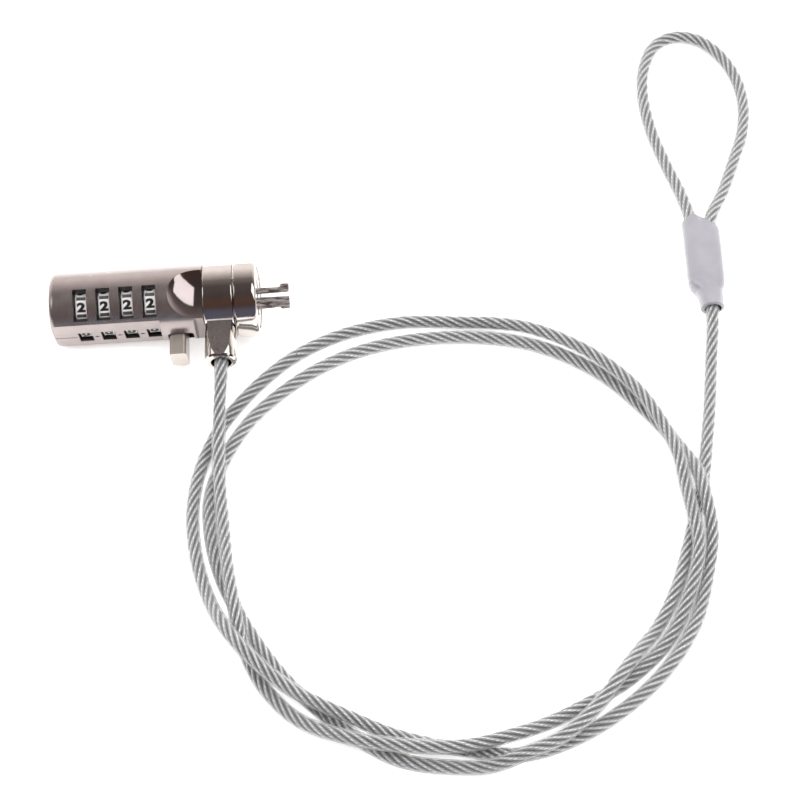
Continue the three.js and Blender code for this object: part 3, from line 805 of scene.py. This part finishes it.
def make_body_shell(look, inside, polished):
    shell = turned("lock_shell", [
        (TAIL_END, 0), (TAIL_END, 9.3), (TAIL_END + 0.12, 9.65), (TAIL_END + 0.35, 10.0),
        (TAIL_END + 0.7, 10.27), (TAIL_END + 1.1, 10.44), (TAIL_END + 1.5, BODY_RADIUS),
        (BODY_END - 0.25, BODY_RADIUS), (BODY_END, BODY_RADIUS - 0.25), (BODY_END, 0),
    ], ROUND)
    slot = rounded_rectangle(SLOT_FROM, SLOT_END, LEVER_BOTTOM - SLOT_GAP, LEVER_TOP + SLOT_GAP, 0.8)
    scoop = sphere(scoop_frame().translation, SCOOP_RADIUS)
    stretch_along_the_scoop(scoop)
    beyond_flat = (-OUTSIDE, -FLAT_DEPTH)
    tools = [
        block((-1, FLAT_END), beyond_flat, (-OUTSIDE, OUTSIDE)),
        disc(-1, TAIL_RECESS_END, TAIL_RECESS_RADIUS),
        disc(TAIL_RECESS_END - 0.2, SLOT_FROM - 0.1, BODY_BORE),
        disc(SLOT_FROM - 0.3, BODY_END + 1, FRONT_BORE),
        prism("cutter", slot, along_y, -OUTSIDE, -4.2),
        scoop,
        block((END_FLAT_FROM, BODY_END + 1), beyond_flat, (-OUTSIDE, OUTSIDE)),
    ]
    for number in WHEELS:
        station = wheel_station(number)
        tools.append(disc(station - POCKET_WIDTH / 2, station + POCKET_WIDTH / 2, POCKET_RADIUS))
        tools.append(window_cutter(station))
        tools.append(block((station - WINDOW_WIDTH / 2, station + WINDOW_WIDTH / 2), (-9, -5.5),
                           (FLAT_WINDOW_BOTTOM, FLAT_WINDOW_TOP)))
    combine(shell, tools + index_marks())
    finish_piece(shell, "lock_body", look, ["body_shell"], bevel=0.13)
    # The walls inside the openings get near-black painted shade.
    repaint(shell, inside, BODY, inside_an_opening)
    repaint(shell, polished, BODY, in_the_scoop)
    return shell


def make_nose(look):
    seat = NOSE_TO - 1.3
    cap = turned("nose_ring", [
        (NOSE_FROM, FRONT_BORE), (NOSE_FROM, 10.6), (NOSE_FROM + 0.12, 10.85),
        (NOSE_FROM + 0.4, NOSE_RADIUS), (NOSE_TO - 1.7, NOSE_RADIUS), (NOSE_TO - 1, 10.93),
        (NOSE_TO - 0.5, 10.7), (NOSE_TO - 0.15, 10.35), (NOSE_TO, 9.9), (NOSE_TO, 9.0),
        (NOSE_TO - 0.2, FACE_RADIUS), (seat, FACE_RADIUS), (seat, FRONT_BORE), (NOSE_FROM, FRONT_BORE),
    ], ROUND)
    return finish_piece(cap, "lock_body", look, ["nose_cap"], bevel=0)


def make_face(look):
    back = NOSE_TO - 0.9
    front = NOSE_TO - 0.4
    rim = FACE_RADIUS - 0.3
    face = turned("nose_face", [(back, 0), (back, rim), (front - 0.15, rim), (front, rim - 0.15),
                                (front, 0)], 96)
    slot = block((56, 60), (-4.9, 4.9), (-1.75, 1.75))
    slot.data.transform(Matrix.Rotation(CLAW_ROLL - BODY_ROLL, 4, "X"))
    combine(face, [slot])
    return finish_piece(face, "lock_body", look, ["face_plate"], bevel=0.06)


def make_rear(plug_look, screw_look):
    plug = turned("tail_plug", [(1.3, 0), (1.3, 6.9), (1.4, 7.3), (1.7, 7.5), (2.9, 7.5), (2.9, 0)], 96)
    key_slots = [block((0, 1.8), across, (-0.8, 0.8)) for across in ((-6, -4), (4, 6))]
    combine(plug, [disc(0, 4, 2.2, 48)] + key_slots)
    finish_piece(plug, "lock_body", plug_look, ["rear_plug"], bevel=0.1)
    screw = turned("reset_screw_head", [(1.4, 0), (1.4, 1.7), (1.55, 1.9), (3.1, 1.9), (3.1, 1.2),
                                        (4.6, 1.2), (4.6, 0)], 48)
    combine(screw, [block((0, 2.0), (-2.5, 2.5), (-0.3, 0.3))])
    finish_piece(screw, "reset_screw", screw_look, ["code_reset_screw"], bevel=0.05)


def make_lever(look):
    lever_to = LEVER_FROM + LEVER_WIDTH
    outline = rounded_rectangle(LEVER_FROM, lever_to, LEVER_BOTTOM, LEVER_TOP, 0.9)
    pad = prism("lever_pad", outline, along_y, -LEVER_REACH, -5.0)
    stem = block((LEVER_FROM + 0.5, lever_to - 0.5), (-5.4, -1), (-1.9, 0.9))
    hub = disc(LEVER_FROM + 0.5, lever_to - 0.5, 3.2, 48)
    combine(pad, [stem, hub], "UNION")
    spindle_hole = disc(LEVER_FROM - 3.5, lever_to + 3.8, 1.8, 48)
    combine(pad, [spindle_hole])
    return finish_piece(pad, "release_slide", look, ["release_lever"], bevel=0.45)


def make_claw(name, outline, body, node, look):
    half = CLAW_THICKNESS / 2
    prong = prism(name, outline, along_z, -half, half)
    return finish_piece(prong, body, look, [node], CLAWS, bevel=0.5, angle=25)


def make_claws(look):
    """Two prongs from the tail ends inside the head to the tips, with hooks that face apart."""
    upper = [(CLAW_FROM, 0.9), (56, 0.9), (CLAW_TIP, 1.0), (CLAW_TIP, HOOK_HEIGHT),
             (HOOK_FROM, HOOK_HEIGHT), (HOOK_FROM, 2.75), (58, 2.75), (56, 3.2), (CLAW_FROM, 2.6)]
    lower = [(CLAW_FROM, -0.9), (54.6, -0.9), (56, 0.0), (CLAW_TIP, 0.0), (CLAW_TIP, -HOOK_HEIGHT),
             (HOOK_FROM, -HOOK_HEIGHT), (HOOK_FROM, -3.1), (58.5, -3.4), (56, -3.2), (CLAW_FROM, -2.6)]
    make_claw("upper_prong", upper, "upper_claw", "claw_upper", look)
    make_claw("lower_prong", lower, "lower_claw", "claw_lower", look)


# ---- number wheels ----

def digit_mesh(value):
    """One bold digit in millimetres, centred and lying in X-Y."""
    text = bpy.data.curves.new("digit", "FONT")
    text.body = str(value)
    text.extrude = DIGIT_THICKNESS / 2
    text.offset = DIGIT_BOLDNESS
    text.resolution_u = 3
    holder = bpy.data.objects.new("digit", text)
    bpy.context.collection.objects.link(holder)
    bpy.context.view_layer.update()
    mesh = bpy.data.meshes.new_from_object(holder.evaluated_get(bpy.context.evaluated_depsgraph_get()))
    bpy.data.objects.remove(holder)
    xs = [v.co.x for v in mesh.vertices]
    ys = [v.co.y for v in mesh.vertices]
    width = max(xs) - min(xs)
    height = max(ys) - min(ys)
    mesh.transform(Matrix.Translation((-(min(xs) + max(xs)) / 2, -(min(ys) + max(ys)) / 2, 0)))
    across = min(DIGIT_HEIGHT / height * 1.3, DIGIT_WIDTH / width)
    mesh.transform(Matrix.Diagonal((across, DIGIT_HEIGHT / height, 1, 1)))
    return mesh


def facing(angle, radius, station):
    """A frame on the wheel's rim: X along the axis, Y upwards round the rim, Z outwards."""
    angle -= WHEEL_TURN
    out = Vector((0, *around(angle, 1)))
    up = Vector((0, math.sin(angle), math.cos(angle)))
    turn = Matrix((Vector((1, 0, 0)), up, out)).transposed().to_4x4()
    return Matrix.Translation(Vector((station, 0, 0)) + out * radius) @ turn


def join_meshes(name, meshes):
    work = bmesh.new()
    for mesh in meshes:
        work.from_mesh(mesh)
        bpy.data.meshes.remove(mesh)
    bmesh.ops.remove_doubles(work, verts=work.verts, dist=1e-4)
    joined = bpy.data.meshes.new(name)
    work.to_mesh(joined)
    work.free()
    made = bpy.data.objects.new(name, joined)
    bpy.context.collection.objects.link(made)
    return made


def make_digits(number, digits, look):
    placed = []
    for value, mesh in enumerate(digits):
        part = mesh.copy()
        part.transform(facing(value * DIGIT_STEP, FACET_RADIUS - 0.06, wheel_station(number)))
        placed.append(part)
    made = join_meshes(f"wheel_digits_{number}", placed)
    return finish_piece(made, f"wheel_{number}", look, bevel=0)


def make_bars(number, look):
    """The dark bar in the notch across the rim between each two digits: painted shade of the groove
    between the facets.
    """
    half = WHEEL_WIDTH / 2 - 0.45
    bars = []
    for k in range(DIGIT_COUNT):
        bar = block((-half, half), (-BAR_HALF_HEIGHT, BAR_HALF_HEIGHT), (-0.5, 0.05))
        bar.data.transform(facing((k + 0.5) * DIGIT_STEP, FACET_RADIUS + 0.08, wheel_station(number)))
        bars.append(bar.data.copy())
        bpy.data.objects.remove(bar)
    made = join_meshes(f"wheel_bars_{number}", bars)
    return finish_piece(made, f"wheel_{number}", look, bevel=0.05)


def make_wheel(number, look):
    """A flat facet for each digit, a notch across the rim between each two, and a bore."""
    station = wheel_station(number)
    half = WHEEL_WIDTH / 2
    start = station - half
    end = station + half
    edge = 0.3
    rim = turned(f"digit_wheel_{number}", [
        (start, 0), (start, WHEEL_RADIUS - edge), (start + edge, WHEEL_RADIUS),
        (end - edge, WHEEL_RADIUS), (end, WHEEL_RADIUS - edge), (end, 0),
    ], DIGIT_COUNT)
    rim.data.transform(Matrix.Rotation(DIGIT_STEP / 2 + WHEEL_TURN, 4, "X"))
    tools = [disc(station - 3, station + 3, WHEEL_BORE, 64)]
    for k in range(DIGIT_COUNT):
        notch = block((-half + 0.4, half - 0.4), (-NOTCH_HALF_HEIGHT, NOTCH_HALF_HEIGHT), (-0.45, 1))
        notch.data.transform(facing((k + 0.5) * DIGIT_STEP, WHEEL_RADIUS - 0.15, station))
        tools.append(notch)
    combine(rim, tools)
    return finish_piece(rim, f"wheel_{number}", look, [f"number_wheel_{number}"],
                        bevel=0.08, angle=20)


# ---- collar ----

def make_collar(look, flat_look):
    middle = (COLLAR_FROM + COLLAR_TO) / 2
    band = turned("collar_band", [
        (COLLAR_FROM, FRONT_BORE), (COLLAR_FROM, 10.5), (COLLAR_FROM + 0.12, 10.75),
        (COLLAR_FROM + 0.4, COLLAR_RADIUS), (COLLAR_TO - 0.4, COLLAR_RADIUS), (COLLAR_TO - 0.12, 10.75),
        (COLLAR_TO, 10.5), (COLLAR_TO, FRONT_BORE), (COLLAR_FROM, FRONT_BORE),
    ], ROUND)
    boss = loft_along_y("cutter", [
        (-BOSS_REACH, middle, 0, 3.75, 3.6, 2), (-BOSS_REACH + 0.25, middle, 0, 4.15, 3.95, 2),
        (-BOSS_REACH + 0.8, middle, 0, 4.45, 4.25, 2), (-17.5, middle, 0, 4.6, 5.0, 2.1),
        (-12.5, middle, 0, 4.5, 6.2, 2.3), (-7, middle, 0, 4.1, 7.0, 2.6),
    ], 128, 6)
    flats = []
    for side in (1, -1):
        flat = block((middle - 8, middle + 8), (-4, 16), (0, 6))
        flat.data.transform(Matrix.Diagonal((1, 1, side, 1)) @
                            Matrix.Translation((0, -BOSS_REACH + 1.2, BOSS_FLAT)) @
                            Matrix.Rotation(BOSS_SLANT, 4, "X"))
        fix_normals(flat.data)
        flats.append(flat)
    combine(boss, flats)
    combine(band, [boss], "UNION")
    turns = [2 * math.pi * k / BORE_SIDES for k in range(BORE_SIDES)]
    circle = [(middle + BOSS_BORE * math.cos(turn), BOSS_BORE * math.sin(turn)) for turn in turns]
    bore = prism("cutter", circle, along_y, -24, -6)
    combine(band, [disc(40, 60, FRONT_BORE), bore])
    finish_piece(band, "cable_assembly", look, ["swivel_collar"], HEAD, bevel=0.14)
    repaint(band, flat_look, HEAD, lambda centre, normal: centre.y < -9 and abs(normal.z) > 0.985)
    return band


# ---- carried-over CAD nodes, floor and light ----

INNER_STEEL = ["neck_tube", "body_pin", "nose_pin", "spindle", "spring_seat", "return_spring",
               "claw_wedge", "claw_pin_upper", "claw_pin_lower", "cable_end_ferrule", "loop_ferrule"]
INNER_BRASS = ["detent_spring", "swivel_washer"] + [f"code_sleeve_{n}" for n in WHEELS]


def paint(names, look):
    for name in names:
        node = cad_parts[name]
        node.data.materials.clear()
        node.data.materials.append(look)


def make_floor(look):
    r = FLOOR_REACH
    floor = link_mesh("floor", [(-r, -r, 0), (r, -r, 0), (r, r, 0), (-r, r, 0)], [(0, 1, 2, 3)])
    floor.data.materials.append(look)


def area_light(name, place, target, size, watts, shown=True):
    light = bpy.data.lights.new(name, "AREA")
    light.shape = "RECTANGLE"
    light.size, light.size_y = size
    light.energy = watts
    lamp = bpy.data.objects.new(name, light)
    lamp.location = place
    lamp.rotation_euler = (Vector(target) - Vector(place)).to_track_quat("-Z", "Y").to_euler()
    lamp.visible_glossy = shown
    bpy.context.collection.objects.link(lamp)


def make_world():
    """A studio round the table: dark on the near side and overhead, lighter down to white behind."""
    world = bpy.data.worlds.new("studio")
    bpy.context.scene.world = world
    world.use_nodes = True
    nodes, links = world.node_tree.nodes, world.node_tree.links
    coordinates = nodes.new("ShaderNodeTexCoord")
    parts = nodes.new("ShaderNodeSeparateXYZ")
    links.new(coordinates.outputs["Generated"], parts.inputs["Vector"])
    near = math_node(nodes, links, "MULTIPLY", parts.outputs["Y"], -1)
    height = math_node(nodes, links, "ARCTAN2", parts.outputs["Z"], near)
    share = math_node(nodes, links, "DIVIDE", height, math.pi)
    tone = nodes.new("ShaderNodeValToRGB")
    set_stops(tone, [(degrees / 180, colour) for degrees, colour in STUDIO_TONES])
    links.new(share, tone.inputs["Fac"])
    links.new(tone.outputs["Color"], nodes["Background"].inputs["Color"])
    nodes["Background"].inputs["Strength"].default_value = 1.0


def make_lights():
    area_light("overhead", (0.05, 0.1, 1.3), (0.07, -0.03, 0), (1.8, 1.8), 34, shown=False)
    area_light("right_box", (0.62, -0.12, 0.95), (0, 0, 0), (0.62, 1.2), 5.5)
    area_light("left_box", (-0.9, 0.0, 0.9), (0, 0, 0), (0.5, 1.0), 2.5)


def make_looks():
    """The materials, by the piece or the kind of surface that wears them."""
    return {
        "jacket": clear_jacket("clear_jacket"),
        "rope": wire_rope("galvanised_rope"),
        "sleeve": moulded_plastic("sleeve_plastic", (0.25, 0.248, 0.275), (0.30, 0.297, 0.325), 0.1),
        "nickel": plated_metal("black_nickel", (0.31, 0.27, 0.26), (0.35, 0.305, 0.295),
                               rough=0.24, grain=0.012, metallic=0.88),
        "scoop": plated_metal("scoop_shine", (0.34, 0.295, 0.29), (0.38, 0.335, 0.33), rough=0.08),
        # Near-black painted shade for the walls inside the windows, pockets and slot.
        "window": enamel("window_painted_shade", (0.012, 0.011, 0.011)),
        "chrome": plated_metal("bright_chrome", (0.52, 0.48, 0.45), (0.57, 0.53, 0.50), rough=0.08),
        "boss": satin_paint("boss_flat", (0.13, 0.118, 0.112), (0.36, 0.335, 0.32),
                            rough=0.4, metallic=0.95),
        "lever": satin_paint("lever_grey", (0.46, 0.42, 0.38), (0.56, 0.51, 0.46),
                             rough=0.35, metallic=0.85),
        "claws": streaked_metal("claw_grey", (0.16, 0.13, 0.13), (0.85, 0.82, 0.81), rough=0.25),
        "wheel": satin_paint("satin_wheel", (0.80, 0.78, 0.77), (0.92, 0.90, 0.89),
                             rough=0.35, metallic=0.3),
        "digits": enamel("black_digits", (0.006, 0.005, 0.005)),
        # Near-black painted shade for the grooves between the digits' facets.
        "bars": enamel("groove_shade_grey", (0.05, 0.046, 0.045)),
        "steel": plated_metal("bright_steel", (0.55, 0.53, 0.51), (0.70, 0.68, 0.66),
                              rough=0.22, grain=0.15),
        "brass": plated_metal("brass", (0.60, 0.46, 0.24), (0.74, 0.60, 0.34), rough=0.3, grain=0.1),
    }


def main():
    make_camera()
    looks = make_looks()
    jacket, rope, path, length = make_cable(looks["jacket"], looks["rope"])
    sleeve = make_loop_sleeve(looks["sleeve"])

    make_body_shell(looks["nickel"], looks["window"], looks["scoop"])
    make_nose(looks["chrome"])
    make_face(looks["steel"])
    make_rear(looks["nickel"], looks["steel"])
    make_lever(looks["lever"])
    make_claws(looks["claws"])
    make_collar(looks["chrome"], looks["boss"])
    digits = [digit_mesh(value) for value in range(DIGIT_COUNT)]
    for number in WHEELS:
        make_wheel(number, looks["wheel"])
        make_digits(number, digits, looks["digits"])
        make_bars(number, looks["bars"])
    paint(INNER_STEEL, looks["steel"])
    paint(INNER_BRASS, looks["brass"])

    make_floor(pale_floor("pale_floor"))
    make_world()
    make_lights()
    bpy.context.scene.view_settings.view_transform = "Standard"


main()
